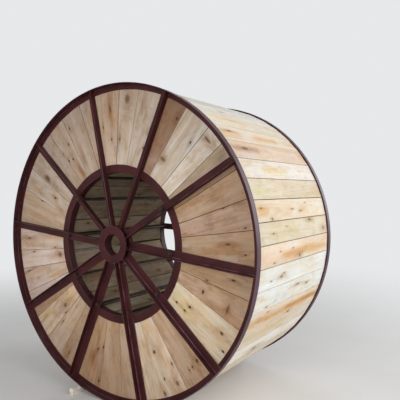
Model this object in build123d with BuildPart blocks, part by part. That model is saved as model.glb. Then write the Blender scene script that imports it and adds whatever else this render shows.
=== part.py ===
# Steel-framed wooden cable drum, lying on its two rims, with one timber chock.
# Millimetres. The drum's axis is Y, +Z is up, and the origin is on the spindle axis
# at mid length. The front flange is the one at negative Y.
# Depths are counted inwards from the front edge of a rim. Angles are in degrees
# anticlockwise from the right-hand side, and a flange's are seen from outside it.

import os
from math import asin, cos, degrees, radians, sin, sqrt, tan

from build123d import *

# Main sizes of the drum
flange_radius = 1200.0
traverse = 1200.0
barrel_radius = 600.0
sector_count = 10

# Rolled steel angle of the rims
rim_leg_axial = 52.0
rim_leg_radial = 45.0
rim_steel = 5.0

# Rolled steel angle of the inner rings
ring_leg_radial = 60.0
ring_leg_axial = 60.0
ring_steel = 5.0

# Rolled steel angle of the spokes, whose heel passes beside the drum's axis. The rolled
# root is cut as one flat, because there are twenty spokes.
spoke_leg_flat = 60.0
spoke_heel_offset = 17.0
spoke_steel = 5.0
spoke_root_flat = 4.0

# Hub: a sleeve with a plate over the spokes and one behind them
bore_radius = 80.0
sleeve_wall = 15.0
hub_plate_radius = 140.0
hub_front_plate = 8.0
hub_back_plate = 24.0

# Tie rods and their nuts, cut with few sides because there are many
first_rod_angle = 32.0
rod_radius = 10.0
rod_lip_gap = 15.0
rod_hole_clearance = 1.0
rod_end_length = 12.0
rod_sides = 8
nut_across_flats = 30.0
nut_height = 16.0
nut_bore_clearance = 0.2

# Flange boards. Their joints are counted from the spoke that starts each sector,
# as pairs of degrees at the rim and at the inner ring.
flange_board_thickness = 36.0
flange_board_gap = 2.0
sector_edge = 1.0
board_joints = (
    ((7.5, 6.0), (15.0, 15.5), (26.5, 28.5)),
    ((13.0, 15.0), (22.5, 25.0)),
    ((8.5, 6.0), (19.5, 18.0), (29.0, 26.5)),
    ((11.0, 12.0), (20.5, 24.0)),
    ((12.0, 13.0), (20.0, 24.0), (30.5, 32.0)),
    ((6.0, 5.5), (16.0, 17.0), (26.0, 26.0)),
    ((14.0, 13.0), (25.5, 25.5)),
    ((10.5, 9.0), (21.5, 20.5)),
    ((16.5, 20.0), (27.0, 28.0)),
    ((13.5, 13.5), (23.5, 22.5), (33.5, 32.5)),
)

# Barrel staves, with joints that stand open and joints that meet, seen from the front
stave_thickness = 48.0
open_stave_gap = 9.0
tight_stave_gap = 1.0
open_stave_joints = (3, 33, 63, 95, 111, 142, 175, 190, 211, 247, 274, 304, 334)
tight_stave_joints = (18, 48, 79, 127, 163, 229, 260, 289, 319, 349)

# Lagging boards between the rims
lagging_count = 50
lagging_thickness = 20.0
lagging_gap = 1.0
lagging_set_back = 12.0
first_lagging_joint = 2.5

# Fitting clearances of the timber
timber_end_gap = 0.5
seat_gap = 0.3

# Chock under the front rim
chock_width = 35.0
chock_height = 55.0
chock_length = 200.0
chock_overhang = 73.0

# Places along the axis, worked out from the sizes above
wood_depth = rim_leg_axial
inner_face_depth = wood_depth + flange_board_thickness
half_width = traverse / 2 + inner_face_depth
spoke_depth = rim_leg_axial - rim_steel

# Radii worked out from the sizes above
ring_lip_outer = barrel_radius - ring_leg_radial + ring_steel
ring_lip_inner = ring_lip_outer - ring_steel
sleeve_radius = bore_radius + sleeve_wall
lagging_step = 360 / lagging_count
lagging_inner = (flange_radius - lagging_set_back) * cos(radians(lagging_step / 2)) - lagging_thickness
flange_board_outer = lagging_inner - seat_gap
flange_board_inner = ring_lip_outer + seat_gap
stave_inner = ring_lip_outer + seat_gap

# Spokes and tie rods: each rod stands in the middle of a spoke's clear flat leg
spoke_step = 360 / sector_count
spoke_toe_offset = spoke_leg_flat - spoke_heel_offset
spoke_start = sleeve_radius + seat_gap
spoke_end = sqrt((flange_radius - rim_steel - seat_gap) ** 2 - spoke_toe_offset**2)
rod_circle_radius = ring_lip_inner - rod_lip_gap - rod_radius
rod_offset = (spoke_toe_offset - spoke_heel_offset + spoke_steel) / 2
rod_lead = degrees(asin(rod_offset / rod_circle_radius))

# The side of each flange along Y, and the angle of its first tie rod seen from outside
flanges = {"front": (-1, first_rod_angle), "rear": (1, 180 - first_rod_angle)}


def save(piece, name):
    """Label one finished piece and write its file."""
    piece.part.label = name
    export_step(piece.part, f"parts/{name}.step")


def axial(side, depth):
    """Y of a depth counted inwards from the rim's front edge."""
    return side * (half_width - depth)


def flange_point(side, radius, angle):
    """Point of a sketch on an XZ plane, by radius and by angle seen from outside the flange."""
    turn = radians(angle)
    return (-side * radius * cos(turn), radius * sin(turn))


def spoke_plane(side, angle):
    """Plane across a spoke at the sleeve: local x anticlockwise, local y out along the axis."""
    x, z = flange_point(side, spoke_start, angle)
    across_x, across_z = flange_point(side, 1, angle + 90)
    return Plane(origin=(x, 0, z), x_dir=(across_x, 0, across_z), z_dir=(x, 0, z))


def rim(side):
    """Rolled angle: one leg round the outside, one flat against the boards."""
    with BuildPart() as piece:
        with BuildSketch(Plane.XY):
            with BuildLine():
                Polyline(
                    (flange_radius, axial(side, 0)),
                    (flange_radius, axial(side, rim_leg_axial)),
                    (flange_radius - rim_leg_radial, axial(side, rim_leg_axial)),
                    (flange_radius - rim_leg_radial, axial(side, spoke_depth)),
                    (flange_radius - rim_steel, axial(side, spoke_depth)),
                    (flange_radius - rim_steel, axial(side, 0)),
                    close=True,
                )
            make_face()
        revolve(axis=Axis.Y)
    return piece


def inner_ring(side):
    """Rolled angle: one leg flat against the boards, one reaching into the barrel."""
    with BuildPart() as piece:
        with BuildSketch(Plane.XY):
            with BuildLine():
                Polyline(
                    (ring_lip_inner, axial(side, spoke_depth)),
                    (barrel_radius, axial(side, spoke_depth)),
                    (barrel_radius, axial(side, wood_depth)),
                    (ring_lip_outer, axial(side, wood_depth)),
                    (ring_lip_outer, axial(side, spoke_depth + ring_leg_axial)),
                    (ring_lip_inner, axial(side, spoke_depth + ring_leg_axial)),
                    close=True,
                )
            make_face()
        revolve(axis=Axis.Y)
    return piece


def hub(side):
    """Sleeve for the spindle, with a plate each side of the spokes."""
    with BuildPart() as piece:
        with BuildSketch(Plane.XY):
            with BuildLine():
                Polyline(
                    (bore_radius, axial(side, -hub_front_plate)),
                    (hub_plate_radius, axial(side, -hub_front_plate)),
                    (hub_plate_radius, axial(side, 0)),
                    (sleeve_radius, axial(side, 0)),
                    (sleeve_radius, axial(side, spoke_depth)),
                    (hub_plate_radius, axial(side, spoke_depth)),
                    (hub_plate_radius, axial(side, spoke_depth + hub_back_plate)),
                    (bore_radius, axial(side, spoke_depth + hub_back_plate)),
                    close=True,
                )
            make_face()
        revolve(axis=Axis.Y)
    return piece


def spoke(side, rod_angle):
    """Rolled angle from the sleeve to the rim, its flat leg drilled for the tie rod."""
    base = half_width - spoke_depth
    root = (spoke_steel - spoke_heel_offset, base + spoke_steel)
    with BuildPart() as piece:
        with BuildSketch(spoke_plane(side, rod_angle - rod_lead)) as section:
            with BuildLine():
                Polyline(
                    (-spoke_heel_offset, base),
                    (spoke_toe_offset, base),
                    (spoke_toe_offset, base + spoke_steel),
                    root,
                    (spoke_steel - spoke_heel_offset, half_width),
                    (-spoke_heel_offset, half_width),
                    close=True,
                )
            make_face()
            chamfer(section.vertices().sort_by_distance(root)[0], spoke_root_flat)
        extrude(amount=spoke_end - spoke_start)
        with BuildSketch(Plane.XZ.offset(-side * base)):
            with Locations(flange_point(side, rod_circle_radius, rod_angle)):
                RegularPolygon(rod_radius + rod_hole_clearance, rod_sides)
        extrude(amount=-side * spoke_steel, mode=Mode.SUBTRACT)
    return piece


def sector_boards(side, rod_angle, joints):
    """Tapered boards that fill the flange from one spoke to the next, from ring to rim."""
    start = rod_angle - rod_lead
    edges = [(sector_edge, sector_edge), *joints, (sector_edge + spoke_step, sector_edge + spoke_step)]
    trim_outer = degrees(flange_board_gap / 2 / flange_board_outer)
    trim_inner = degrees(flange_board_gap / 2 / flange_board_inner)
    with BuildPart() as piece:
        with BuildSketch(Plane.XZ.offset(-axial(side, wood_depth))):
            for (outer_low, inner_low), (outer_high, inner_high) in zip(edges, edges[1:]):
                corner_radius = flange_board_inner / cos(radians(inner_high - inner_low) / 2)
                outer_middle = (outer_low + outer_high) / 2
                with BuildLine():
                    Polyline(
                        flange_point(side, corner_radius, start + inner_low + trim_inner),
                        flange_point(side, flange_board_outer, start + outer_low + trim_outer),
                        flange_point(side, flange_board_outer, start + outer_middle),
                        flange_point(side, flange_board_outer, start + outer_high - trim_outer),
                        flange_point(side, corner_radius, start + inner_high - trim_inner),
                        close=True,
                    )
                make_face()
        extrude(amount=side * flange_board_thickness)
    return piece


def axial_boards(joints, inner, thickness, length):
    """A ring of straight boards along the drum. Each joint is an angle and its gap."""
    closed = [*joints, (joints[0][0] + 360, joints[0][1])]
    with BuildPart() as piece:
        with BuildSketch(Plane.XZ):
            for (start, start_gap), (end, end_gap) in zip(closed, closed[1:]):
                reach = inner * tan(radians(end - start) / 2)
                low = start_gap / 2 - reach
                high = reach - end_gap / 2
                with Locations(Location((0, 0, 0), (0, 0, (start + end) / 2))):
                    with Locations((inner + thickness / 2, (low + high) / 2)):
                        Rectangle(thickness, high - low)
        extrude(amount=length / 2, both=True)
    return piece


def barrel_staves():
    """Planks round the barrel, with their inner faces on the lips of the rings."""
    joints = [(angle, open_stave_gap) for angle in open_stave_joints]
    joints += [(angle, tight_stave_gap) for angle in tight_stave_joints]
    return axial_boards(sorted(joints), stave_inner, stave_thickness, traverse - 2 * timber_end_gap)


def lagging_boards():
    """Boards that close the drum from rim to rim over the ends of the flange boards."""
    joints = [(first_lagging_joint + i * lagging_step, lagging_gap) for i in range(lagging_count)]
    length = 2 * (half_width - wood_depth - timber_end_gap)
    return axial_boards(joints, lagging_inner, lagging_thickness, length)


def tie_rods():
    """Ten rods through the barrel that clamp the two flanges together."""
    outer_end = half_width - spoke_depth + spoke_steel + nut_height + rod_end_length
    with BuildPart() as piece:
        with BuildSketch(Plane.XZ):
            with PolarLocations(rod_circle_radius, sector_count, start_angle=first_rod_angle):
                RegularPolygon(rod_radius, rod_sides)
        extrude(amount=outer_end, both=True)
    return piece


def tie_rod_nuts(side):
    """Hexagon nuts on the rods' ends, each seated on a spoke's flat leg."""
    seat = half_width - spoke_depth + spoke_steel
    with BuildPart() as piece:
        with BuildSketch(Plane.XZ.offset(-side * seat)):
            with PolarLocations(rod_circle_radius, sector_count, start_angle=first_rod_angle):
                RegularPolygon(nut_across_flats / 2, 6, major_radius=False)
                RegularPolygon(rod_radius + nut_bore_clearance, rod_sides, mode=Mode.SUBTRACT)
        extrude(amount=-side * nut_height)
    return piece


def chock():
    """Offcut of timber on the floor, its upper edge against the front rim."""
    touch = flange_radius + seat_gap
    drop = flange_radius - chock_height
    edge = -sqrt(touch**2 - drop**2)
    with BuildPart() as piece:
        with BuildSketch(Plane.XZ.offset(half_width + chock_overhang)):
            with Locations((edge, -flange_radius)):
                Rectangle(chock_width, chock_height, align=(Align.MAX, Align.MIN))
        extrude(amount=-chock_length)
    return piece


os.makedirs("parts", exist_ok=True)

for flange_name, (side, first_angle) in flanges.items():
    save(rim(side), f"rim_{flange_name}")
    save(inner_ring(side), f"inner_ring_{flange_name}")
    save(hub(side), f"hub_{flange_name}")
    save(tie_rod_nuts(side), f"tie_rod_nuts_{flange_name}")
    for number, joints in enumerate(board_joints):
        rod_angle = first_angle + number * spoke_step
        save(spoke(side, rod_angle), f"spoke_{flange_name}_{number + 1:02d}")
        save(sector_boards(side, rod_angle, joints), f"sector_boards_{flange_name}_{number + 1:02d}")

save(tie_rods(), "tie_rods")
save(barrel_staves(), "barrel_staves")
save(lagging_boards(), "lagging_boards")
save(chock(), "chock")
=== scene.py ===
from math import asin, atan2, ceil, cos, degrees, pi, radians, sin, sqrt
from random import Random

import bmesh
import bpy
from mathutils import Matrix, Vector


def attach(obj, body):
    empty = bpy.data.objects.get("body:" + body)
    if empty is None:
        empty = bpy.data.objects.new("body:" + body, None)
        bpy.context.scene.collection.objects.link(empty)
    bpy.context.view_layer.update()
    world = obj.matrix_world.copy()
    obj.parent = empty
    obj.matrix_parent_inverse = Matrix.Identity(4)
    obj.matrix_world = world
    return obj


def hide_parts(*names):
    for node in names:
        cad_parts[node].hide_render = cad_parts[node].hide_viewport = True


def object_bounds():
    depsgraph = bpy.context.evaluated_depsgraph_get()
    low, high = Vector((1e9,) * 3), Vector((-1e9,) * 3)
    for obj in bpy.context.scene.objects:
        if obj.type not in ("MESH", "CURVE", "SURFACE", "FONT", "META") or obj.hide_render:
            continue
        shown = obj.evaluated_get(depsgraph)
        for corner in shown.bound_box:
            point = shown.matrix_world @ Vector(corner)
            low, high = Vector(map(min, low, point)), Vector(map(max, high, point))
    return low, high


# Looks of the wooden cable drum. Metres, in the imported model's frame: the drum's axis is Y,
# the front flange is at negative Y, +Z is up, and the floor is at the rims' lowest point.
# The tables of knots are in millimetres. Angles are in degrees.

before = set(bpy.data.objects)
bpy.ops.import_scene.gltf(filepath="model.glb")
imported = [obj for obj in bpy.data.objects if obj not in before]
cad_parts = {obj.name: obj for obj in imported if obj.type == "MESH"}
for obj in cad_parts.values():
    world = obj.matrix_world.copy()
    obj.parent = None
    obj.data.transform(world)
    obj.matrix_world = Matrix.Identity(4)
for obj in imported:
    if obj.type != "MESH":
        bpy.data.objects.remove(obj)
cad_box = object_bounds()

# Sizes that the CAD gives the steel frame
HALF_WIDTH = 0.688
SPOKE_DEPTH = 0.047
SPOKE_HEEL = -0.017
SPOKE_TOE = 0.043
STEEL = 0.005
RIM_INSIDE = 1.195
RIM_LEG_INSIDE = 1.155
RING_OUTSIDE = 0.600
RING_INSIDE = 0.540
HUB_PLATE = 0.140
SLEEVE = 0.095
ROD_CIRCLE = 0.515
ROD_RADIUS = 0.010
ROD_END = 0.674
NUT_SEAT = 0.646
NUT_HEIGHT = 0.016
NUT_FLATS = 0.030
NUT_BORE = 0.0102

# Spokes and rods, by angle round the axis: the front flange's first rod, the step from spoke to
# spoke, and how far a rod is ahead of its spoke's line
FIRST_ROD = 32.0
SPOKES = 10
STEP = 360 / SPOKES
ROD_LEAD = degrees(asin((SPOKE_TOE + SPOKE_HEEL + STEEL) / 2 / ROD_CIRCLE))

# Each flange's side of the drum, its first rod seen from outside, the seed of its first sector's
# boards and that of its welds
FLANGES = {"front": (-1, FIRST_ROD, 0, 299), "rear": (1, 180 - FIRST_ROD, 100, 301)}
STAVES_SEED = 201
LAGGING_SEED = 202
CHOCK_SEED = 203

# Rounding of sawn and of rolled edges. The staves' is wide, so their joints show as grooves
TIMBER_ARRIS = 0.0013
STAVE_ARRIS = 0.0035
STEEL_ARRIS = 0.0017

# Angles between faces: those below the first are one face, those above the second are rounded,
# and those up to the third are shaded smooth
ONE_FACE = 0.5
CORNER = 30
SMOOTH_SHADED = 35

# Weld beads: radii, sides, length of a ripple, and how thick a bead is at its ends and at its
# ripples' crests and troughs
WELD_RADIUS = 0.0032
LEG_WELD_RADIUS = 0.0028
SLEEVE_WELD_RADIUS = 0.0026
WELD_SIDES = 8
WELD_RIPPLE = 0.0045
WELD_END = 0.55
WELD_CREST = (0.86, 1.1)
WELD_TROUGH = (0.74, 0.9)

# How far a bead's line is from the plate, and how far it stops short of what it runs along
WELD_LIFT = 0.001
WELD_LEG_LIFT = 0.0005
WELD_FIRST_GAP = 0.003
WELD_LAST_GAP = 0.004

# Nuts: points round each, radius of the flat face, slope of the chamfer round it, width and depth
# of the bore's chamfer, and the nut's turn from its rod's angle, in radians
NUT_POINTS = 36
NUT_FACE = NUT_FLATS / 2 * 0.97
NUT_CHAMFER = 0.58
BORE_CHAMFER = (0.0008, 0.0009)
NUT_TURN = 0.2

# Rods: sides, pitch of the thread, its radius at the root, the end of the plain length, where the
# thread starts in the nut, and the chamfer at the end with its two radii
ROD_SIDES = 24
THREAD_PITCH = 0.0025
THREAD_ROOT = 0.88 * ROD_RADIUS
PLAIN_END = 0.60
THREAD_START = NUT_SEAT + NUT_HEIGHT - 0.002
ROD_CHAMFER = ROD_END - 0.0015
CHAMFER_RADII = (0.96 * ROD_RADIUS, 0.80 * ROD_RADIUS)

# Wood tones, as base colours
TONES = {
    "chalk": (0.77, 0.77, 0.74),
    "white": (0.70, 0.74, 0.74),
    "milk": (0.75, 0.715, 0.64),
    "ivory": (0.67, 0.64, 0.585),
    "pale": (0.68, 0.615, 0.53),
    "corn": (0.635, 0.57, 0.465),
    "straw": (0.60, 0.55, 0.445),
    "lemon": (0.63, 0.54, 0.41),
    "cream": (0.62, 0.53, 0.455),
    "butter": (0.62, 0.53, 0.43),
    "peach": (0.67, 0.56, 0.45),
    "pink": (0.61, 0.50, 0.44),
    "biscuit": (0.58, 0.475, 0.385),
    "ash": (0.55, 0.505, 0.455),
    "stone": (0.50, 0.44, 0.39),
    "sand": (0.51, 0.435, 0.375),
    "dusk": (0.435, 0.355, 0.295),
    "bone": (0.60, 0.565, 0.52),
    "fawn": (0.49, 0.385, 0.30),
    "clay": (0.42, 0.305, 0.235),
    "tan": (0.47, 0.34, 0.24),
    "umber": (0.41, 0.295, 0.205),
    "brown": (0.38, 0.255, 0.165),
    "rose": (0.28, 0.185, 0.13),
    "grey": (0.44, 0.38, 0.32),
}

# Tones of the flange boards, sector by sector from the spoke at the upper right, anticlockwise
SECTOR_TONES = (
    ("grey", "bone", "ash", "rose"),
    ("sand", "sand", "fawn"),
    ("dusk", "dusk", "dusk", "dusk"),
    ("stone", "sand", "fawn"),
    ("pink", "pink", "pink", "pink"),
    ("brown", "biscuit", "fawn", "umber"),
    ("brown", "umber", "tan"),
    ("butter", "butter", "tan"),
    ("lemon", "tan", "umber"),
    ("umber", "clay", "umber", "rose"),
)

# Where one board ends and the next starts in the last sector, as shares of its width. In the
# other sectors even shares tell the boards apart
LAST_SECTOR_EDGES = (0.375, 0.65, 0.93)

# How dark the joints between a sector's boards are, and those beside the spokes
SECTOR_JOINTS = (
    (0.9, 0.9, 0.1),
    (0.3, 1.0),
    (0.9, 0.5, 0.2),
    (0.2, 0.1),
    (0.3, 1.0, 0.5),
    (0.5, 0.6, 0.1),
    (0.1, 0.1),
    (0.0, 0.3),
    (0.1, 0.5),
    (0.8, 0.9, 0.8),
)
SPOKE_JOINT = 0.5

# What a coloured streak does to the wood's tone
TINTS = {
    "brown": (0.70, 0.51, 0.36),
    "rust": (0.86, 0.68, 0.45),
    "orange": (0.94, 0.76, 0.55),
    "pink": (0.96, 0.84, 0.76),
    "yellow": (1.00, 0.90, 0.64),
    "green": (0.92, 0.96, 0.74),
    "grey": (0.76, 0.73, 0.70),
    "pale": (1.12, 1.16, 1.28),
}

# Coloured streaks of the front flange, by sector and board. Each streak has its place across the
# board from its first joint, half width, radii where it starts and ends, tint and strength
FLANGE_STREAKS = {
    (0, 0): ((0.5, 0.030, 0.95, 1.17, "grey", 0.9),),
    (0, 3): ((0.5, 0.080, 0.60, 0.78, "pale", 1.0), (0.5, 0.080, 0.60, 0.80, "pale", 1.0)),
    (1, 1): ((0.85, 0.018, 0.60, 0.92, "grey", 0.9),),
    (1, 2): ((0.86, 0.015, 0.74, 0.98, "brown", 1.0), (0.20, 0.040, 0.90, 1.17, "pink", 0.7)),
    (2, 0): ((0.70, 0.030, 0.95, 1.10, "grey", 0.7),),
    (2, 1): ((0.63, 0.018, 0.64, 0.90, "brown", 0.7),),
    (2, 2): ((0.36, 0.020, 0.58, 0.86, "brown", 0.9), (0.83, 0.014, 0.58, 0.94, "brown", 0.8)),
    (3, 0): ((0.80, 0.025, 0.82, 1.06, "grey", 1.0), (0.80, 0.040, 0.58, 0.80, "yellow", 0.6)),
    (3, 2): ((0.64, 0.022, 0.82, 1.12, "orange", 0.7),),
    (4, 0): ((0.35, 0.020, 1.03, 1.18, "brown", 0.9),),
    (4, 3): ((0.60, 0.016, 0.60, 0.90, "yellow", 0.9), (0.80, 0.016, 0.98, 1.18, "orange", 0.8)),
    (5, 1): ((0.30, 0.034, 0.88, 1.18, "green", 1.0), (0.50, 0.060, 0.58, 0.84, "yellow", 0.9)),
    (5, 3): ((0.80, 0.020, 0.80, 1.10, "brown", 0.5),),
    (6, 0): ((0.60, 0.045, 0.82, 1.10, "brown", 0.8), (0.50, 0.060, 0.58, 0.72, "yellow", 0.8)),
    (6, 1): ((0.50, 0.030, 0.97, 1.06, "pale", 0.9), (0.40, 0.070, 0.60, 0.76, "yellow", 0.9)),
    (7, 0): ((0.85, 0.020, 1.00, 1.17, "brown", 0.6),),
    (7, 1): ((0.65, 0.046, 0.81, 1.18, "pale", 1.0), (0.30, 0.060, 0.58, 0.76, "orange", 0.6)),
    (7, 2): ((0.30, 0.060, 0.58, 0.74, "orange", 0.7), (0.50, 0.050, 1.00, 1.12, "brown", 0.5)),
    (8, 0): ((0.10, 0.026, 0.88, 1.18, "brown", 0.7), (0.55, 0.050, 0.58, 0.90, "green", 0.6)),
    (8, 2): ((0.10, 0.010, 0.65, 0.98, "brown", 0.9),),
    (9, 0): ((0.30, 0.009, 0.92, 1.08, "rust", 1.0),),
    (9, 2): ((0.85, 0.035, 0.60, 0.82, "yellow", 0.8),),
}

# Knots of the front flange that the photo shows: angle seen from the front, radius, half width,
# and how much wider they are across the grain than along it. All are at the boards' middle, in Y
FLANGE_KNOTS_Y = -618
FLANGE_KNOTS = (
    (42.5, 1093, 18, 2.4), (47.5, 990, 7, 1), (55.3, 760, 17, 1.7), (58.2, 1057, 11, 1.1),
    (84.6, 1086, 28, 1.0), (94, 1020, 16, 0.65), (94, 793, 7, 1), (88, 789, 6, 1),
    (99.3, 898, 6, 0.8), (70.5, 755, 6, 1), (120, 1045, 7, 1), (124.4, 944, 7, 1),
    (126.2, 814, 8, 1.1), (129.3, 831, 8, 0.8), (130.2, 917, 5, 0.8), (147.4, 942, 24, 0.85),
    (154, 778, 8, 1), (159.9, 918, 6, 1), (180.6, 1035, 13, 0.75), (187.5, 986, 6, 0.8),
    (196, 1085, 14, 0.55), (191.2, 656, 22, 1.1), (185.8, 708, 5, 1), (222.8, 795, 18, 1),
    (226.2, 832, 6, 0.9), (228, 912, 6, 0.8), (239.7, 1072, 7, 0.7), (229.8, 700, 4, 1),
    (259.4, 1106, 9, 1), (256, 861, 8, 1.1), (259.5, 825, 8, 1), (293.5, 1128, 14, 1),
    (295.6, 1032, 7, 0.9), (300.8, 1091, 15, 1), (302.2, 956, 7, 1), (295, 834, 11, 1.2),
    (310.7, 1050, 6, 1.2), (308.6, 1054, 5, 1), (314, 1039, 11, 1.1), (325.1, 1128, 8, 1),
    (330, 1057, 11, 1), (329.5, 767, 9, 1.1), (326, 748, 7, 1), (326.2, 664, 8, 1),
    (339.2, 1028, 18, 2.3), (340.4, 817, 10, 1.5), (346.5, 822, 6, 0.9), (350.2, 1020, 8, 0.8),
    (3.4, 961, 14, 0.8), (359.8, 1090, 6, 1), (17.5, 970, 6, 1), (8.8, 1101, 6, 1),
)

# Tones of the lagging that the photo shows, from the lowest board up, with that board's angle up
# from the side and the step from board to board
LAGGING_TONES = ("chalk", "ivory", "pale", "white", "white", "pale", "straw", "corn", "straw",
                 "ivory", "cream", "pale", "milk", "chalk")
LAGGING_FIRST_SEEN = -40.7
LAGGING_STEP = 7.2

# How dark the joints below those boards are, and the one above them
LAGGING_JOINTS = (0.1, 0.1, 0.1, 0.1, 0.05, 0.5, 0.8, 0.9, 1.0, 0.6, 0.6, 0.15, 0.4, 0.2, 0.2)

# Coloured streaks of the lagging, by board from the lowest that shows. They are as the flange's,
# but start and end along the drum
LAGGING_STREAKS = {
    1: ((0.60, 0.045, -0.64, 0.20, "yellow", 0.6),),
    2: ((0.42, 0.036, -0.70, 0.70, "rust", 1.0), (0.46, 0.022, -0.05, 0.66, "rust", 0.9)),
    5: ((0.42, 0.030, -0.36, 0.62, "rust", 1.0), (0.35, 0.050, -0.70, 0.00, "pink", 0.9)),
    6: ((0.50, 0.050, -0.60, 0.10, "green", 0.4), (0.70, 0.030, 0.15, 0.40, "green", 0.6)),
    7: ((0.45, 0.040, -0.66, -0.36, "orange", 0.9), (0.50, 0.030, 0.00, 0.32, "orange", 0.9)),
    8: ((0.35, 0.030, -0.64, -0.28, "green", 0.9), (0.30, 0.060, -0.10, 0.64, "grey", 0.25)),
    9: ((0.45, 0.026, -0.42, 0.16, "yellow", 0.9), (0.50, 0.050, 0.14, 0.36, "pale", 0.6)),
    10: ((0.55, 0.026, -0.62, -0.14, "brown", 0.4), (0.60, 0.040, 0.42, 0.70, "pink", 1.0)),
    11: ((0.50, 0.032, -0.20, 0.34, "orange", 0.9), (0.35, 0.040, -0.70, -0.25, "orange", 0.7)),
    12: ((0.15, 0.012, 0.10, 0.50, "green", 0.8), (0.60, 0.060, -0.64, 0.00, "yellow", 0.4)),
}

# Knots of the lagging that the photo shows: angle up from the side, Y, half width, and how much
# wider they are across the grain. All are at the radius of the lagging's middle
LAGGING_KNOTS_RADIUS = 1176
LAGGING_KNOTS = (
    (14.2, -540, 6, 0.8), (10.4, -406, 7, 1.1), (13.2, -40, 6, 0.8), (12.3, 108, 6, 0.7),
    (15.2, 227, 4, 0.8), (14.5, 438, 6, 0.7), (5.8, -409, 6, 0.9), (8.8, 254, 14, 0.8),
    (7.5, -187, 4, 1), (4.7, 547, 15, 1.2), (-3.7, -406, 5, 0.9), (-0.4, -315, 4, 1),
    (-3.3, 32, 14, 1.1), (-0.2, -93, 4, 1), (-9.0, -262, 14, 0.8), (-8.0, -228, 6, 1),
    (-9.4, -429, 5, 0.8), (-14.4, 83, 12, 0.7), (-15.4, 274, 12, 0.8), (-18.4, -409, 6, 0.8),
    (-20.9, -343, 6, 0.8), (-25.5, 80, 9, 0.8), (-39.0, -195, 22, 0.9), (35.7, -413, 22, 0.6),
    (43.2, -460, 16, 0.6), (57, -200, 7, 1),
)

# Extent of the seeded streaks: radii on the rear flange, and Y on the unseen lagging and staves
FLANGE_SPAN = (0.58, 1.18)
DRUM_SPAN = (-0.6, 0.6)

# Tones that unseen boards are picked from, and what darkens those inside the barrel: partly a
# duller tone of their own, partly painted shade of the barrel's inside
LOOSE_LAGGING = ("cream", "pale", "biscuit", "pink", "peach", "white", "ivory", "straw")
LOOSE_STAVES = ("straw", "grey", "straw", "sand")
STAVE_DULLING_AND_SHADE = (0.66, 0.64, 0.57)

# Boards whose darkest channel is above this look freshly sawn, and keep this share of the grime
FRESH_TONE = 0.44
FRESH_GRIME = 0.6

# A board's attributes hold so many knots and streaks. Unused ones are far away or have no strength
KNOTS_A_BOARD = 5
NO_KNOT = (1000.0, 0.0, 0.001, 1.0)
STREAKS_A_BOARD = 2
NO_STREAK = ((0.0, 0.02, 0.0, 1.0), (1.0, 1.0, 1.0, 0.0))

# What tints the wood where its own mask shows, as factors of the colour
WARM_BLOTCH = (1.01, 0.93, 0.84)
COOL_BLOTCH = (0.98, 1.00, 1.05)
LATE_WOOD = (0.82, 0.68, 0.52)
FIGURE = (0.93, 0.68, 0.48)
STAIN = (0.76, 0.67, 0.58)
KNOT_HALO = (0.66, 0.50, 0.38)
SOIL = (0.80, 0.74, 0.68)
SMUDGE = (0.80, 0.71, 0.61)
FLECK = (0.52, 0.42, 0.35)
# Painted shade of the flange boards near the rim
RIM_SHADE = (0.80, 0.78, 0.77)
JOINT_SHADE = (0.26, 0.21, 0.17)

# How much light bands are raised and dark bands lowered, for each channel
LIGHT_BAND = (0.08, 0.13, 0.21)
DARK_BAND = (0.09, 0.14, 0.21)

# Colours of knots: the heart, the bark and rings in it, and the heart of large ones
KNOT_HEART = (0.085, 0.040, 0.020)
KNOT_BARK = (0.026, 0.011, 0.006)
LARGE_HEART = (0.100, 0.052, 0.027)

# Half widths between which a knot turns from a small one to a large one, a knot's width over its
# length, and how many rings it has to a half width
LARGE_KNOT = (0.0095, 0.0135)
KNOT_SHAPE = 0.72
KNOT_RINGS = 3.2

# How far the growth rings bend round a knot, in half widths, and how fast that falls off. How
# fast its halo falls off along and across the grain
RING_BEND = 1.9
BEND_FALL = 0.13
HALO_FALL = (0.06, 0.28)

# How much the growth rings open along a board, and how much they sway
RING_TAPER = 0.016
RING_SWAY = 0.032

# How far a streak wanders across the grain and at its ends, and over what length it fades
STREAK_WANDER = (0.05, 0.35)
STREAK_FADE = 0.12

# Seeded knots: ranges of half widths, and the widest that they lie from a board's middle
LOOSE_KNOT_SIZES = ((0.005, 0.010), (0.006, 0.017))
LOOSE_KNOT_SPAN = 0.07

# Radii between which painted shade darkens the flange boards towards the rim
RIM_SHADE_RADII = (0.65, 1.15)

# Colours of the paint and of what is on it, and the radii between which the rims' tread starts
PAINT = ((0.035, 0.0080, 0.0088), (0.056, 0.0130, 0.0155))
PAINT_SPECK = (0.11, 0.055, 0.045)
PAINT_DUST = (0.22, 0.17, 0.15)
# The tread's colour is partly paint worn where the rims roll and partly a painted lavender
# reflection
TREAD_WEAR_AND_SHEEN = (0.14, 0.11, 0.15)
TREAD_WEAR_AND_SHEEN_RADII = (1.1940, 1.1975)
# The rubbed edges' colour is partly worn paint and partly a painted highlight
EDGE_WEAR_AND_HIGHLIGHT = (0.20, 0.12, 0.13)

# Colours of blackened steel and of the rust on it
BLACK_STEEL = ((0.020, 0.016, 0.016), (0.065, 0.036, 0.024))

# Floor and backdrop: the backdrop's colour, the floor's half width and two tones, the distances
# between which it runs out into the backdrop, and the light of the world on the object
BACKDROP = (0.80, 0.81, 0.82)
FLOOR_HALF = 60.0
FLOOR_TONES = ((0.66, 0.66, 0.655), (0.72, 0.72, 0.715))
FLOOR_FADE = (2.2, 7.5)
WORLD_COLOR = (0.95, 0.97, 1.0)
WORLD_LIGHT = 0.30

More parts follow.
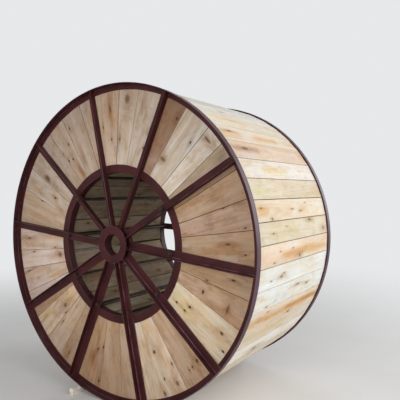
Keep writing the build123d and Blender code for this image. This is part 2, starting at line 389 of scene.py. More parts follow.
# Soft square lamps: name, place, what it faces, width, watts and colour
LAMPS = (
    ("window_side", (7.5, -1.0, 2.0), (1.0, 0.0, 0.0), 5.0, 315, (1.0, 0.99, 0.97)),
    ("window_far", (5.0, 8.0, 2.6), (0.5, 0.5, 0.0), 5.0, 450, (0.98, 0.99, 1.0)),
    ("rear_fill", (-6.0, 5.5, 3.0), (0.0, 0.3, 0.0), 5.0, 220, (1.0, 1.0, 1.0)),
    ("front_fill", (1.8, -7.5, 1.3), (0.0, 0.0, 0.0), 4.0, 325, (1.0, 0.98, 0.95)),
)

# Camera at the photo's place
CAMERA_PLACE = (2.5156, -3.3198, 0.4080)
CAMERA_YAW = 33.40
CAMERA_PITCH = -1.197
LENS = 43.29
SENSOR_WIDTH = 36.0


class Tree:
    """Node tree of a material or world, built with short calls.

    An input is a number, a colour or a socket."""

    def __init__(self, owner):
        self.owner = owner
        owner.use_nodes = True
        self.tree = owner.node_tree
        self.tree.nodes.clear()

    def add(self, kind, inputs=None, **settings):
        """A node with its settings and inputs."""
        node = self.tree.nodes.new(kind)
        for key, value in settings.items():
            setattr(node, key, value)
        for key, value in (inputs or {}).items():
            self.feed(node.inputs[key], value)
        return node

    def feed(self, socket, value):
        """Link a socket to another, or set it."""
        if isinstance(value, bpy.types.NodeSocket):
            self.tree.links.new(value, socket)
        elif isinstance(value, tuple) and len(value) == 3 and socket.type == "RGBA":
            socket.default_value = (*value, 1.0)
        else:
            socket.default_value = value

    def math(self, operation, a, b=0.0, c=0.0):
        return self.add("ShaderNodeMath", {0: a, 1: b, 2: c}, operation=operation).outputs[0]

    def times(self, a, b):
        return self.math("MULTIPLY", a, b)

    def over(self, a, b):
        return self.math("DIVIDE", a, b)

    def plus(self, a, b):
        return self.math("ADD", a, b)

    def minus(self, a, b):
        return self.math("SUBTRACT", a, b)

    def larger(self, a, b):
        return self.math("MAXIMUM", a, b)

    def smaller(self, a, b):
        return self.math("MINIMUM", a, b)

    def line(self, value, slope, start):
        """A straight line: the value times slope, plus start."""
        return self.math("MULTIPLY_ADD", value, slope, start)

    def fall(self, value, rate=1.0):
        """1 where the value is 0, falling off exponentially."""
        return self.math("EXPONENT", self.times(value, -rate))

    def length(self, a, b):
        """Length of a vector of two parts."""
        return self.math("SQRT", self.plus(self.times(a, a), self.times(b, b)))

    def smooth(self, value, low, high):
        """0 below low, 1 above high, and a smooth step between them."""
        inputs = {"Value": value, "From Min": low, "From Max": high}
        return self.add("ShaderNodeMapRange", inputs, interpolation_type="SMOOTHSTEP").outputs[0]

    def mix(self, share, a, b, blend="MIX"):
        """Colour a, and a share of colour b."""
        node = self.add("ShaderNodeMix", data_type="RGBA", blend_type=blend)
        self.feed(node.inputs[0], share)
        self.feed(node.inputs[6], a)
        self.feed(node.inputs[7], b)
        return node.outputs[2]

    def tinted(self, share, color, tint):
        """The colour, turned towards itself times a tint."""
        return self.mix(share, color, tint, "MULTIPLY")

    def vector(self, x, y, z):
        return self.add("ShaderNodeCombineXYZ", {"X": x, "Y": y, "Z": z}).outputs[0]

    def parts(self, vector):
        return self.add("ShaderNodeSeparateXYZ", {0: vector}).outputs

    def noise(self, vector, scale, detail, roughness):
        inputs = {"Vector": vector, "Scale": scale, "Detail": detail, "Roughness": roughness}
        return self.add("ShaderNodeTexNoise", inputs).outputs["Fac"]

    def stretched(self, *axes, detail=3.0, roughness=0.6):
        """Noise over three values, each with its own scale."""
        scaled = [value if scale == 1 else self.times(value, scale) for value, scale in axes]
        return self.noise(self.vector(*scaled), 1.0, detail, roughness)

    def attribute(self, name):
        return self.add("ShaderNodeAttribute", attribute_name=name).outputs

    def object_place(self):
        return self.add("ShaderNodeTexCoord").outputs["Object"]

    def axis_distance(self, place):
        """Distance of a place from the drum's axis."""
        x, _, z = self.parts(place)
        return self.length(x, z)

    def backdrop_rays(self):
        """1 for rays that show the backdrop: the camera's, and those in gloss and through glass."""
        path = self.add("ShaderNodeLightPath").outputs
        share = path["Is Camera Ray"]
        for name in ("Is Glossy Ray", "Is Transmission Ray"):
            share = self.larger(share, path[name])
        return share

    def mix_shader(self, share, a, b):
        return self.add("ShaderNodeMixShader", {0: share, 1: a, 2: b}).outputs[0]

    def surface(self, color, roughness, height, depth, strength, specular, metallic=0.0):
        """Finish the material with a shader that has bumps of a depth and strength."""
        bumps = {"Height": height, "Distance": depth, "Strength": strength}
        normal = self.add("ShaderNodeBump", bumps).outputs[0]
        inputs = {"Base Color": color, "Roughness": roughness, "Normal": normal,
                  "Specular IOR Level": specular, "Metallic": metallic}
        shader = self.add("ShaderNodeBsdfPrincipled", inputs)
        self.add("ShaderNodeOutputMaterial", {0: shader.outputs[0]})
        return self.owner


def wood_knots(t, u, v, ragged):
    """A board's knots, from places that are counted in half widths of each.

    These are how far the growth rings bend round them, and masks of their cores, their halos, the
    large ones, and the bark and rings in their cores."""
    along_fall, across_fall = HALO_FALL
    lift = core = halo = bulk = bark = 0.0
    for number in range(KNOTS_A_BOARD):
        knot = t.attribute(f"knot_{number}")
        knot_u, knot_v, size = t.parts(knot["Vector"])
        wide = knot["Alpha"]
        along = t.times(t.over(t.times(t.minus(u, knot_u), KNOT_SHAPE), size), wide)
        across = t.over(t.minus(v, knot_v), t.times(size, wide))
        along_square = t.times(along, along)
        across_square = t.times(across, across)
        square = t.plus(along_square, across_square)
        tail = t.plus(t.times(along_square, along_fall), t.times(across_square, across_fall))
        lift = t.plus(lift, t.times(t.times(size, RING_BEND), t.fall(square, BEND_FALL)))
        halo = t.plus(halo, t.fall(tail))
        edge = t.times(square, t.line(ragged, 1.5, 0.25))
        large = t.smooth(size, *LARGE_KNOT)
        heart = t.minus(1.0, t.smooth(edge, t.line(large, -0.55, 0.60), 1.35))
        core = t.larger(core, t.times(heart, t.line(large, -0.20, 0.94)))
        bulk = t.larger(bulk, t.times(large, t.smooth(square, 6.0, 3.0)))
        rings = t.math("FRACT", t.times(t.math("SQRT", square), KNOT_RINGS))
        rings = t.smooth(rings, 0.45, 0.95)
        shell = t.larger(t.smooth(square, 0.30, 0.80), t.times(rings, 0.55))
        bark = t.larger(bark, t.times(heart, shell))
    return lift, core, halo, bulk, bark


def wood_streaks(t, color, u, v, w, bands):
    """The colour with a board's streaks on it, which wander, fade at both ends and follow bands."""
    sideways, endways = STREAK_WANDER
    wander = t.minus(t.stretched((u, 3.0), (v, 4.0), (w, 1)), 0.5)
    for number in range(STREAKS_A_BOARD):
        streak = t.attribute(f"streak_{number}")
        streak_v, half, first = t.parts(streak["Vector"])
        last = streak["Alpha"]
        tint = t.attribute(f"tint_{number}")
        off = t.over(t.minus(v, t.line(wander, sideways, streak_v)), half)
        place = t.line(wander, endways, u)
        begun = t.smooth(place, first, t.plus(first, STREAK_FADE))
        ended = t.smooth(place, t.minus(last, STREAK_FADE), last)
        share = t.times(t.fall(t.times(off, off)), t.minus(begun, ended))
        share = t.times(share, t.line(bands, 1.0, 0.60))
        share = t.smaller(t.times(share, tint["Alpha"]), 1.0)
        color = t.tinted(share, color, tint["Color"])
    return color


def timber(name, ring_pitch, dirt, joint_shade, rim_shade=0.0):
    """Sawn softwood. The growth rings lie round each board's own pith and bend round its knots.

    dirt is 1 for old timber and near 0 for new. joint_shade and rim_shade are how strong the
    shade in joints and near the rim is."""
    t = Tree(bpy.data.materials.new(name))
    u, v, w = t.parts(t.attribute("grain")["Vector"])
    tone = t.attribute("tone")["Color"]
    figure, grime, blush = t.parts(t.attribute("traits")["Vector"])
    joint = t.attribute("joint")["Fac"]

    # Knots, growth rings and bands of rings
    ragged = t.noise(t.vector(u, v, w), 70.0, 2.0, 0.5)
    lift, core, halo, bulk, bark = wood_knots(t, u, v, ragged)
    sway = t.stretched((u, 1.3), (v, 8.0), (w, 8.0), roughness=0.5)
    pith = t.length(v, w)
    reach = t.plus(t.plus(pith, t.times(u, RING_TAPER)), t.plus(t.times(sway, RING_SWAY), lift))
    late = t.math("POWER", t.math("FRACT", t.over(reach, ring_pitch)), 2.5)
    bands = t.stretched((u, 0.8), (reach, 34.0), (v, 6.0), detail=4.0, roughness=0.65)

    # Noises of the wood and of what is on it
    figured = t.stretched((u, 1.4), (reach, 16.0), (3.7, 1))
    fibre = t.stretched((u, 9.0), (v, 380.0), (w, 380.0), detail=2.0)
    blotch = t.stretched((u, 4.0), (v, 9.0), (w, 1))
    stain = t.stretched((u, 6.0), (v, 20.0), (reach, 10.0), detail=4.0, roughness=0.65)
    speckle = t.stretched((u, 22.0), (v, 170.0), (reach, 60.0))
    cloud = t.noise(t.vector(u, t.times(v, 2.0), w), 6.0, 4.0, 0.65)
    smudge = t.noise(t.vector(t.plus(u, 7.7), t.times(v, 1.3), w), 13.0, 3.0, 0.6)

    # The wood's own colour
    color = t.tinted(t.times(t.smooth(blotch, 0.40, 0.62), blush), tone, WARM_BLOTCH)
    color = t.tinted(t.times(t.smooth(blotch, 0.50, 0.34), blush), color, COOL_BLOTCH)
    contrast = 0.8 + 0.8 * dirt
    light = t.tinted(1.0, color, tuple(1 + c * (contrast - 1) for c in LIGHT_BAND))
    dark = t.tinted(1.0, color, tuple(1 - c * contrast for c in DARK_BAND))
    color = t.mix(t.smooth(bands, 0.36, 0.66), light, dark)
    color = t.tinted(t.times(late, 0.28), color, LATE_WOOD)
    color = t.tinted(t.times(t.smooth(figured, 0.50, 0.66), figure), color, FIGURE)
    color = wood_streaks(t, color, u, v, w, bands)
    color = t.tinted(t.times(t.smooth(stain, 0.52, 0.68), grime), color, STAIN)
    shade = t.line(fibre, 0.24, 0.95)
    color = t.tinted(1.0, color, t.vector(shade, shade, shade))
    color = t.tinted(t.times(t.smaller(halo, 1.0), 0.8), color, KNOT_HALO)
    heart = t.mix(bulk, t.mix(bark, KNOT_HEART, KNOT_BARK), LARGE_HEART)
    color = t.mix(core, color, heart)

    # Dirt and shade on it
    soiled = t.times(t.smooth(cloud, 0.44, 0.66), t.times(grime, dirt))
    color = t.tinted(soiled, color, SOIL)
    smudged = t.times(t.smooth(smudge, 0.53, 0.71), t.line(grime, 0.5, 0.3))
    color = t.tinted(t.times(smudged, dirt ** 0.5), color, SMUDGE)
    flecked = t.times(t.smooth(speckle, 0.60, 0.72), t.smooth(cloud, 0.40, 0.62))
    color = t.tinted(t.times(flecked, 0.8), color, FLECK)
    # Painted shade: the flange boards are darker towards the rim, where its lip shades them
    near_rim = t.smooth(t.axis_distance(t.object_place()), *RIM_SHADE_RADII)
    color = t.tinted(t.times(near_rim, rim_shade), color, RIM_SHADE)
    color = t.tinted(t.times(joint, joint_shade), color, JOINT_SHADE)

    height = t.minus(t.line(fibre, 0.55, t.times(late, 0.3)), t.times(core, 0.6))
    roughness = t.line(fibre, 0.16, 0.68)
    return t.surface(color, roughness, height, 0.0008, 0.7, 0.25)


def red_oxide_paint():
    """Dark maroon brushed paint on rolled steel, dusty where it faces up. Its edges are lighter,
    partly from worn paint and partly as a painted highlight.
    """
    t = Tree(bpy.data.materials.new("red_oxide_paint"))
    place = t.object_place()
    upward = t.parts(t.add("ShaderNodeNewGeometry").outputs["Normal"])[2]
    edge = t.attribute("joint")["Fac"]
    patches = t.noise(place, 5.0, 4.0, 0.6)
    specks = t.noise(place, 85.0, 3.0, 0.6)
    brushed = t.noise(place, 340.0, 2.0, 0.5)
    wear_and_highlight_noise = t.noise(place, 9.0, 3.0, 0.6)
    color = t.mix(t.smooth(patches, 0.35, 0.68), *PAINT)
    color = t.mix(t.times(t.smooth(specks, 0.62, 0.72), 0.3), color, PAINT_SPECK)
    dust = t.times(t.smooth(upward, 0.3, 0.95), t.smooth(patches, 0.35, 0.65))
    color = t.mix(t.times(dust, 0.10), color, PAINT_DUST)
    # Rims' outer face: partly worn paint, partly a painted lavender reflection
    tread_wear_and_sheen = t.times(t.smooth(t.axis_distance(place), *TREAD_WEAR_AND_SHEEN_RADII), t.line(patches, 0.5, 0.05))
    color = t.mix(tread_wear_and_sheen, color, TREAD_WEAR_AND_SHEEN)
    # Edges lighter in patches: partly worn paint, partly a painted highlight
    worn_and_highlit = t.times(edge, t.smooth(wear_and_highlight_noise, 0.40, 0.60))
    color = t.mix(t.times(worn_and_highlit, 0.5), color, EDGE_WEAR_AND_HIGHLIGHT)
    roughness = t.minus(t.line(patches, 0.20, 0.36), t.times(edge, 0.14))
    height = t.line(brushed, 0.35, t.times(specks, 0.65))
    return t.surface(color, roughness, height, 0.0006, 0.3, 0.14)


def dark_steel():
    """Blackened steel of rods and nuts, with thin brown rust in patches."""
    t = Tree(bpy.data.materials.new("dark_steel"))
    patches = t.noise(t.object_place(), 70.0, 4.0, 0.6)
    color = t.mix(t.smooth(patches, 0.4, 0.7), *BLACK_STEEL)
    roughness = t.line(patches, 0.3, 0.36)
    return t.surface(color, roughness, patches, 0.0004, 0.4, 0.25, metallic=0.2)


MATERIALS = {
    "flange_timber": timber("flange_timber", 0.0085, 0.8, 0.9, 0.8),
    "barrel_timber": timber("barrel_timber", 0.0095, 1.0, 0.9),
    "lagging_timber": timber("lagging_timber", 0.0090, 0.25, 0.8),
    "chock_timber": timber("chock_timber", 0.0070, 1.0, 0.3),
    "red_oxide_paint": red_oxide_paint(),
    "dark_steel": dark_steel(),
}


def new_piece(name, bm, slot, *nodes):
    """An object made from a bmesh, riding on the root body, with its finish and smooth shading."""
    mesh = bpy.data.meshes.new(name)
    bm.normal_update()
    bm.to_mesh(mesh)
    bm.free()
    mesh.polygons.foreach_set("use_smooth", [True] * len(mesh.polygons))
    mesh.set_sharp_from_angle(angle=radians(SMOOTH_SHADED))
    mesh.materials.append(MATERIALS[slot])
    piece = bpy.data.objects.new(name, mesh)
    bpy.context.scene.collection.objects.link(piece)
    normals = piece.modifiers.new("face_weighted", "WEIGHTED_NORMAL")
    normals.keep_sharp = True
    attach(piece, "root")
    if nodes:
        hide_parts(*nodes)


def cad_copy(node, arris):
    """The CAD node's shape as a bmesh, with its corners rounded by arris and marked as joints."""
    bm = bmesh.new()
    bm.from_mesh(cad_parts[node].data)
    for layer in list(bm.loops.layers.uv):
        bm.loops.layers.uv.remove(layer)
    bmesh.ops.remove_doubles(bm, verts=bm.verts, dist=1e-5)
    bmesh.ops.dissolve_limit(bm, angle_limit=radians(ONE_FACE), verts=bm.verts, edges=bm.edges)
    corner = radians(CORNER)
    sharp = [e for e in bm.edges if len(e.link_faces) == 2 and e.calc_face_angle(0) > corner]
    rounded = bmesh.ops.bevel(bm, geom=sharp, offset=arris, segments=2, profile=0.5,
                              affect="EDGES", clamp_overlap=True)
    joint_layer = bm.loops.layers.float.new("joint")
    for face in rounded["faces"]:
        for loop in face.loops:
            loop[joint_layer] = 1.0
    return bm


def paint_node(node):
    """A piece of painted steel that replaces a CAD node."""
    new_piece(f"painted_{node}", cad_copy(node, STEEL_ARRIS), "red_oxide_paint", node)


def islands(bm):
    """The separate boards of a bmesh, each as a list of vertices."""
    bm.verts.ensure_lookup_table()
    seen = set()
    groups = []
    for start in bm.verts:
        if start.index in seen:
            continue
        seen.add(start.index)
        group = [start]
        for vert in group:
            for edge in vert.link_edges:
                other = edge.other_vert(vert)
                if other.index not in seen:
                    seen.add(other.index)
                    group.append(other)
        groups.append(group)
    return groups


def middle(group):
    """The centre of a board's box."""
    low = Vector([min(v.co[i] for v in group) for i in range(3)])
    high = Vector([max(v.co[i] for v in group) for i in range(3)])
    return (low + high) / 2


def holds(faces, point):
    """True if a point is behind every face of a board."""
    return all((point - face.verts[0].co).dot(face.normal) < 0 for face in faces)


def board_axes(kind, centre):
    """Directions along a board, across it and out of its face."""
    out = Vector((centre.x, 0, centre.z)).normalized()
    onward = Vector((-out.z, 0, out.x))
    if kind == "radial":
        return out, onward, Vector((0, 1, 0))
    if kind == "axial":
        return Vector((0, 1, 0)), onward, out
    return Vector((0, 1, 0)), Vector((1, 0, 0)), Vector((0, 0, 1))


def local_place(point, centre, axes):
    """A point's place from a board's centre, along the board's own axes."""
    offset = point - centre
    return Vector([offset.dot(axis) for axis in axes])


def loose_knots(random, corners):
    """Up to three knots at seeded places on a board that the photo doesn't show."""
    knots = []
    for _ in range(random.choice((0, 1, 2, 2, 3))):
        size = random.choice([random.uniform(*sizes) for sizes in LOOSE_KNOT_SIZES])
        span_u = max(c.x for c in corners)
        span_v = min(max(c.y for c in corners), LOOSE_KNOT_SPAN)
        place = (random.uniform(-0.85, 0.85) * span_u, random.uniform(-0.7, 0.7) * span_v)
        knots.append((*place, size, random.uniform(0.7, 1.3)))
    return knots


def filled(items, blank, count):
    """The first of the items, filled up to a count with blank ones."""
    return (items + [blank] * count)[:count]


def board_layers(bm):
    """The boards' vertex attributes, as new layers of a bmesh by name."""
    kinds = {"grain": "float_vector", "tone": "float_color", "traits": "float_vector"}
    for word, count in (("knot", KNOTS_A_BOARD), ("streak", STREAKS_A_BOARD),
                        ("tint", STREAKS_A_BOARD)):
        kinds.update({f"{word}_{number}": "float_color" for number in range(count)})
    return {name: getattr(bm.verts.layers, kind).new(name) for name, kind in kinds.items()}


def dress_boards(node, name, slot, kind, looks, seed, knots=None, arris=TIMBER_ARRIS):
    """Round a node's boards and give each its own grain, tone, knots and streaks.

    kind is radial for flange boards, axial for staves and lagging, and floor for the chock.
    looks is a function of a board's centre that returns its base colour, how figured it is, the
    darkness of its two joints and its streaks.
    knots is a list of points with sizes and widths, or None for seeded ones.
    arris is how far the boards' edges are rounded."""
    random = Random(seed)
    bm = cad_copy(node, arris)
    bm.normal_update()
    layers = board_layers(bm)
    joint_layer = bm.loops.layers.float.get("joint")
    for group in islands(bm):
        centre = middle(group)
        axes = board_axes(kind, centre)
        local = {vert: local_place(vert.co, centre, axes) for vert in group}
        color, figure, joints, streaks = looks(centre, random)
        faces = {face for vert in group for face in vert.link_faces}
        for face in faces:
            flat = abs(face.normal.dot(axes[2])) > 0.99
            beyond = local_place(face.calc_center_median(), centre, axes).y > 0
            for loop in face.loops:
                loop[joint_layer] = 0.0 if flat else joints[beyond]
        if knots is None:
            own = loose_knots(random, list(local.values()))
        else:
            own = [(*local_place(point, centre, axes).xy, size, wide)
                   for point, size, wide in knots if holds(faces, point)]

        # Each board has its own place in the grain's noises, and its own lightness and dirt
        along, across = random.uniform(0, 40), random.uniform(-0.07, 0.07)
        shift = Vector((along, across, random.uniform(0.03, 0.14)))
        lightness = random.uniform(0.97, 1.04)
        grime = random.uniform(0.35, 1.0) * (FRESH_GRIME if min(color) > FRESH_TONE else 1.0)
        marks = {
            "tone": (*(c * lightness for c in color), 1.0),
            "traits": Vector((figure, grime, random.uniform(0.3, 1.0))),
        }
        own = [(u + shift.x, v + shift.y, size, wide) for u, v, size, wide in own]
        for number, knot in enumerate(filled(own, NO_KNOT, KNOTS_A_BOARD)):
            marks[f"knot_{number}"] = knot

        half = max(place.y for place in local.values())
        base = shift.x - centre.dot(axes[0])
        drawn = []
        for share, wide, first, last, word, strength in streaks:
            place = ((2 * share - 1) * half + shift.y, wide, first + base, last + base)
            drawn.append((place, (*TINTS[word], strength)))
        for number, (place, tint) in enumerate(filled(drawn, NO_STREAK, STREAKS_A_BOARD)):
            marks[f"streak_{number}"] = place
            marks[f"tint_{number}"] = tint

        for vert in group:
            vert[layers["grain"]] = local[vert] + shift
            for word, value in marks.items():
                vert[layers[word]] = value
    new_piece(name, bm, slot, node)


def seen_angle(point, side):
    """Angle of a point round the axis, anticlockwise as seen from outside a flange."""
    return degrees(atan2(point.z, -side * point.x)) % 360


def sector_looks(side, first_rod, number):
    """Looks of one sector's boards, by their order from its first spoke."""
    words = SECTOR_TONES[number]
    joints = (SPOKE_JOINT, *SECTOR_JOINTS[number], SPOKE_JOINT)
    start = first_rod - ROD_LEAD + number * STEP
    edges = [i / len(words) for i in range(1, len(words))]
    if number == SPOKES - 1:
        edges = LAST_SECTOR_EDGES

    def pick(centre, random):
        share = ((seen_angle(centre, side) - start) % 360) / STEP
        order = sum(share > edge for edge in edges)
        color = TONES[words[order]]
        figure = random.uniform(0.0, 0.35)
        own = joints[order:order + 2]
        if side < 0:
            return color, figure, own, FLANGE_STREAKS.get((number, order), ())
        return color, figure, own[::-1], loose_streaks(random, *FLANGE_SPAN)

    return pick


def loose_streaks(random, low, high):
    """Up to two seeded streaks for a board that the photo doesn't show."""
    streaks = []
    for _ in range(random.choice((0, 1, 1, 2))):
        spot = random.uniform(low, high)
        reach = random.uniform(0.15, 0.5) * (high - low)
        word = random.choice(list(TINTS))
        across = random.uniform(0.1, 0.9)
        half = random.uniform(0.012, 0.045)
        streaks.append((across, half, spot - reach, spot + reach, word, random.uniform(0.4, 1.0)))
    return streaks


def lagging_looks(centre, random):
    """Looks of the lagging: as in the photo where it shows them, and mixed elsewhere."""
    angle = degrees(atan2(centre.z, centre.x))
    index = int((angle - LAGGING_FIRST_SEEN) // LAGGING_STEP)
    figure = random.uniform(0.0, 0.4)
    if 0 <= index < len(LAGGING_TONES):
        color = TONES[LAGGING_TONES[index]]
        return color, figure, LAGGING_JOINTS[index:index + 2], LAGGING_STREAKS.get(index, ())
    color = TONES[random.choice(LOOSE_LAGGING)]
    joints = (random.uniform(0.3, 0.9), random.uniform(0.3, 0.9))
    return color, figure, joints, loose_streaks(random, *DRUM_SPAN)


def stave_looks(centre, random):
    """Duller, darker tones inside the barrel, partly their own and partly painted shade, with all
    joints dark.
    """
    tone = TONES[random.choice(LOOSE_STAVES)]
    # Painted shade: the staves' tones are darkened because the inside of the barrel is shaded
    color = tuple(c * share for c, share in zip(tone, STAVE_DULLING_AND_SHADE))
    return color, random.uniform(0.0, 0.4), (1.0, 1.0), loose_streaks(random, *DRUM_SPAN)


def chock_looks(centre, random):
    """A plain pale offcut."""
    return TONES["ivory"], 0.1, (0.0, 0.0), ()


def loft(bm, rings, capped):
    """Quads between closed rings of points. The ends are capped, or the last meets the first."""
    verts = [[bm.verts.new(point) for point in ring] for ring in rings]
    pairs = list(zip(verts, verts[1:]))
    if not capped:
        pairs.append((verts[-1], verts[0]))
    for low, high in pairs:
        for i in range(len(low)):
            j = (i + 1) % len(low)
            bm.faces.new((low[i], low[j], high[j], high[i]))
    if capped:
        bm.faces.new(reversed(verts[0]))
        bm.faces.new(verts[-1])


def turns(sides):
    """Angles in radians of evenly spaced points round a circle."""
    return [2 * pi * i / sides for i in range(sides)]


def weld(bm, start, end, radius, random):
    """A rippled bead from one point to another, its ends drawn in."""
    axis = end - start
    count = max(3, ceil(axis.length / WELD_RIPPLE))
    first = axis.orthogonal().normalized()
    second = axis.normalized().cross(first)
    rings = []
    for i in range(count + 1):
        if i in (0, count):
            ripple = WELD_END
        else:
            ripple = random.uniform(*(WELD_CREST if i % 2 else WELD_TROUGH))
        centre = start + axis * (i / count)
        rings.append([centre + (first * cos(a) + second * sin(a)) * radius * ripple
                      for a in turns(WELD_SIDES)])
    loft(bm, rings, capped=True)


def spoke_point(side, angle, along, across, depth):
    """A point by its place along and across a spoke and its depth from the rim's front edge."""
    turn = radians(angle)
    x = -side * (along * cos(turn) - across * sin(turn))
    z = along * sin(turn) + across * cos(turn)
    return Vector((x, side * (HALF_WIDTH - depth), z))


def spoke_welds():
    """One spoke's beads, by two ends and a radius: at the ring, the rim and the hub's plates."""
    beads = []
    plates = ((RING_INSIDE, RING_OUTSIDE), (RIM_LEG_INSIDE, RIM_INSIDE), (SLEEVE, HUB_PLATE))
    back = SPOKE_DEPTH - WELD_LIFT
    for across in (SPOKE_HEEL, SPOKE_TOE):
        for low, high in plates:
            first = sqrt(low**2 - across**2) + WELD_FIRST_GAP
            last = sqrt(high**2 - across**2) - WELD_LAST_GAP
            beads.append(((first, across, back), (last, across, back), WELD_RADIUS))
    end = sqrt(RIM_INSIDE**2 - SPOKE_TOE**2) - WELD_LIFT
    web = SPOKE_DEPTH - STEEL
    beads.append(((end, SPOKE_HEEL + STEEL, web), (end, SPOKE_TOE, web), WELD_RADIUS))
    end += WELD_LEG_LIFT
    first, last = SLEEVE + WELD_LAST_GAP, HUB_PLATE - WELD_LAST_GAP
    for across in (SPOKE_HEEL, SPOKE_HEEL + STEEL):
        beads.append(((end, across, web), (end, across, WELD_LAST_GAP), LEG_WELD_RADIUS))
        beads.append(((first, across, WELD_LIFT), (last, across, WELD_LIFT), SLEEVE_WELD_RADIUS))
    return beads


def weld_beads(side, first_rod, random):
    """The beads of a flange's ten spokes."""
    bm = bmesh.new()
    for number in range(SPOKES):
        angle = first_rod - ROD_LEAD + number * STEP
        for start, end, radius in spoke_welds():
            start, end = spoke_point(side, angle, *start), spoke_point(side, angle, *end)
            weld(bm, start, end, radius, random)
    bmesh.ops.recalc_face_normals(bm, faces=bm.faces)
    return bm


def rod_place(number):
    """A rod's place, as X, Z and its angle round the axis in radians."""
    turn = radians(FIRST_ROD + number * STEP)
    return ROD_CIRCLE * cos(turn), ROD_CIRCLE * sin(turn), turn


def nut_ring(height, radius):
    """Points round a nut, by angle, radius and height. With no radius they are on its flats."""
    points = []
    for i in range(NUT_POINTS):
        phi = radians(360 / NUT_POINTS * i)
        flat = NUT_FLATS / 2 / cos((phi + pi / 6) % (pi / 3) - pi / 6)
        cut = 0.0 if radius else NUT_CHAMFER * (flat - NUT_FACE)
        y = height + cut if height < NUT_HEIGHT / 2 else height - cut
        points.append((phi, radius or flat, y))
    return points


def hexagon_nuts(side):
    """Nuts with both faces chamfered and a bore that clears the rod."""
    bm = bmesh.new()
    wider, deeper = BORE_CHAMFER
    outline = ((0.0, NUT_FACE), (0.0, None), (NUT_HEIGHT, None), (NUT_HEIGHT, NUT_FACE),
               (NUT_HEIGHT, NUT_BORE + wider), (NUT_HEIGHT - deeper, NUT_BORE), (0.0, NUT_BORE))
    for number in range(SPOKES):
        x, z, turn = rod_place(number)
        rings = []
        for height, radius in outline:
            ring = []
            for phi, r, y in nut_ring(height, radius):
                spin = phi + turn + NUT_TURN
                ring.append(Vector((x + r * cos(spin), side * (NUT_SEAT + y), z + r * sin(spin))))
            rings.append(ring)
        loft(bm, rings, capped=False)
    bmesh.ops.recalc_face_normals(bm, faces=bm.faces)
    return bm


def threaded_rods():
    """Round rods through the barrel, with threads and a chamfer where they leave the nuts."""
    bm = bmesh.new()
    half = [(0.0, ROD_RADIUS), (PLAIN_END, ROD_RADIUS), (THREAD_START, THREAD_ROOT)]
    y = THREAD_START
    while y + THREAD_PITCH < ROD_CHAMFER:
        half += [(y + THREAD_PITCH / 2, ROD_RADIUS), (y + THREAD_PITCH, THREAD_ROOT)]
        y += THREAD_PITCH
    half += zip((ROD_CHAMFER, ROD_END), CHAMFER_RADII)
    profile = [(-y, r) for y, r in reversed(half[1:])] + half
    for number in range(SPOKES):
        x, z, _ = rod_place(number)
        rings = [[Vector((x + r * cos(a), y, z + r * sin(a))) for a in turns(ROD_SIDES)]
                 for y, r in profile]
        loft(bm, rings, capped=True)
    bmesh.ops.recalc_face_normals(bm, faces=bm.faces)
    return bm


def knot_point(angle, radius, y):
    """A knot's point from its angle round the axis, and its radius and Y in millimetres."""
    turn = radians(angle)
    return Vector((cos(turn) * radius, y, sin(turn) * radius)) / 1000


front_knots = [(knot_point(angle, radius, FLANGE_KNOTS_Y), size / 1000, wide)
               for angle, radius, size, wide in FLANGE_KNOTS]
lagging_knots = [(knot_point(angle, LAGGING_KNOTS_RADIUS, y), size / 1000, wide)
                 for angle, y, size, wide in LAGGING_KNOTS]

for flange, (side, first_rod, boards_seed, welds_seed) in FLANGES.items():
    for part in ("rim", "inner_ring", "hub"):
        paint_node(f"{part}_{flange}")
    for number in range(SPOKES):
        place = f"{flange}_{number + 1:02d}"
        paint_node(f"spoke_{place}")
        dress_boards(f"sector_boards_{place}", f"planks_{place}", "flange_timber", "radial",
                     sector_looks(side, first_rod, number), boards_seed + number,
                     front_knots if side < 0 else None)
    beads = weld_beads(side, first_rod, Random(welds_seed))
    new_piece(f"weld_beads_{flange}", beads, "red_oxide_paint")
    new_piece(f"hexagon_nuts_{flange}", hexagon_nuts(side), "dark_steel", f"tie_rod_nuts_{flange}")

new_piece("threaded_rods", threaded_rods(), "dark_steel", "tie_rods")
dress_boards("barrel_staves", "barrel_planks", "barrel_timber", "axial", stave_looks,
             STAVES_SEED, arris=STAVE_ARRIS)
dress_boards("lagging_boards", "lagging_planks", "lagging_timber", "axial", lagging_looks,
             LAGGING_SEED, lagging_knots)
dress_boards("chock", "chock_offcut", "chock_timber", "floor", chock_looks, CHOCK_SEED)


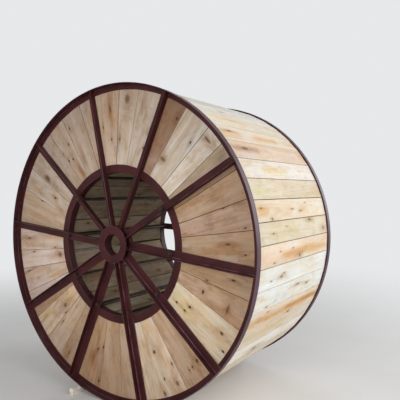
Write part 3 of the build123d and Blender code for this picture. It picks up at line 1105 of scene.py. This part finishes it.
def pale_floor(z):
    """A wide floor that keeps the drum's shadow and runs out into the backdrop."""
    mesh = bpy.data.meshes.new("floor")
    corners = [(x * FLOOR_HALF, y * FLOOR_HALF, z) for x, y in ((-1, -1), (1, -1), (1, 1), (-1, 1))]
    mesh.from_pydata(corners, [], [(0, 1, 2, 3)])
    t = Tree(bpy.data.materials.new("floor"))
    place = t.object_place()
    distance = t.add("ShaderNodeVectorMath", {0: place}, operation="LENGTH").outputs["Value"]
    color = t.mix(t.noise(place, 3.0, 4.0, 0.6), *FLOOR_TONES)
    lit = t.add("ShaderNodeBsdfDiffuse", {"Color": color}).outputs[0]
    shown = t.add("ShaderNodeEmission", {"Color": BACKDROP}).outputs[0]
    share = t.times(t.backdrop_rays(), t.smooth(distance, *FLOOR_FADE))
    t.add("ShaderNodeOutputMaterial", {0: t.mix_shader(share, lit, shown)})
    mesh.materials.append(t.owner)
    plane = bpy.data.objects.new("floor", mesh)
    bpy.context.scene.collection.objects.link(plane)
    return plane


def studio_world():
    """Plain light from all round, and the backdrop's colour for the rays that show it."""
    t = Tree(bpy.data.worlds.new("studio"))
    light = {"Color": WORLD_COLOR, "Strength": WORLD_LIGHT}
    lit = t.add("ShaderNodeBackground", light).outputs[0]
    shown = t.add("ShaderNodeBackground", {"Color": BACKDROP}).outputs[0]
    t.add("ShaderNodeOutputWorld", {0: t.mix_shader(t.backdrop_rays(), lit, shown)})
    return t.owner


floor = pale_floor(cad_box[0][2])
bpy.context.scene.world = studio_world()

for name, position, target, size, watts, color in LAMPS:
    lamp_data = bpy.data.lights.new(name, "AREA")
    lamp_data.size = size
    lamp_data.energy = watts
    lamp_data.color = color
    lamp = bpy.data.objects.new(name, lamp_data)
    lamp.location = position
    aim = Vector(target) - Vector(position)
    lamp.rotation_euler = aim.to_track_quat("-Z", "Y").to_euler()
    bpy.context.scene.collection.objects.link(lamp)

camera_data = bpy.data.cameras.new("camera")
camera_data.sensor_width = SENSOR_WIDTH
camera_data.lens = LENS
camera = bpy.data.objects.new("camera", camera_data)
camera.location = CAMERA_PLACE
camera.rotation_euler = (radians(90 + CAMERA_PITCH), 0, radians(CAMERA_YAW))
bpy.context.scene.collection.objects.link(camera)
bpy.context.scene.camera = camera
bpy.context.scene.view_settings.view_transform = "Standard"
